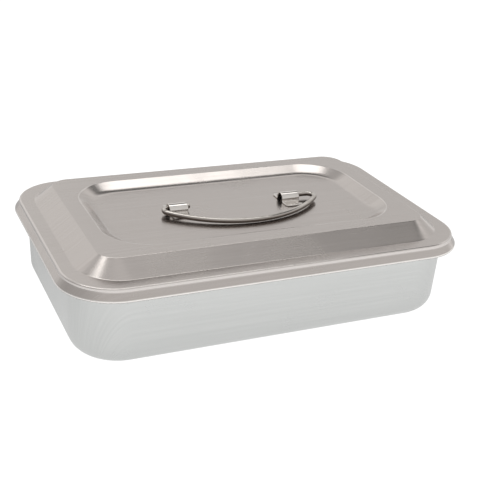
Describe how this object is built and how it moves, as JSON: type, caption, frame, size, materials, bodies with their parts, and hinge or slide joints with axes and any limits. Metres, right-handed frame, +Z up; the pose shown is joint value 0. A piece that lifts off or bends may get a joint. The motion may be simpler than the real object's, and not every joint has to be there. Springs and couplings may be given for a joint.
{
  "type": "lidded instrument tray",
  "caption": "Rectangular pressed stainless steel instrument tray with a drop-on lid, raised crown, sunk centre panel and a fold-down wire bail handle.",
  "frame": {"origin": "centre of the pan's underside, on the surface it stands on", "axes": "+X along the long side towards the right end, +Y towards the back, +Z up; the bail is folded towards the front, -Y"},
  "size_m": [0.3162, 0.2086, 0.0769],
  "materials": {
    "pan_steel": "satin, with a light drawn grain",
    "lid_steel": "satin, slightly warm, with polished pressed edges",
    "bright_steel": "polished stainless"
  },
  "bodies": {
    "pan": {"pan": "pan_steel"},
    "lid": {"lid": "lid_steel", "handle_clip_left": "bright_steel", "handle_clip_right": "bright_steel"},
    "bail": {"bail_handle": "bright_steel"}
  },
  "joints": [
    {"name": "lid_lift", "type": "slide", "parent": "pan", "child": "lid", "axis": [0, 0, 1], "range_m": [0, 0.12]},
    {"name": "bail_fold", "type": "hinge", "parent": "lid", "child": "bail", "pos_m": [0, 0.0011, 0.07369], "axis": [-1, 0, 0], "range_deg": [0, 180]}
  ]
}
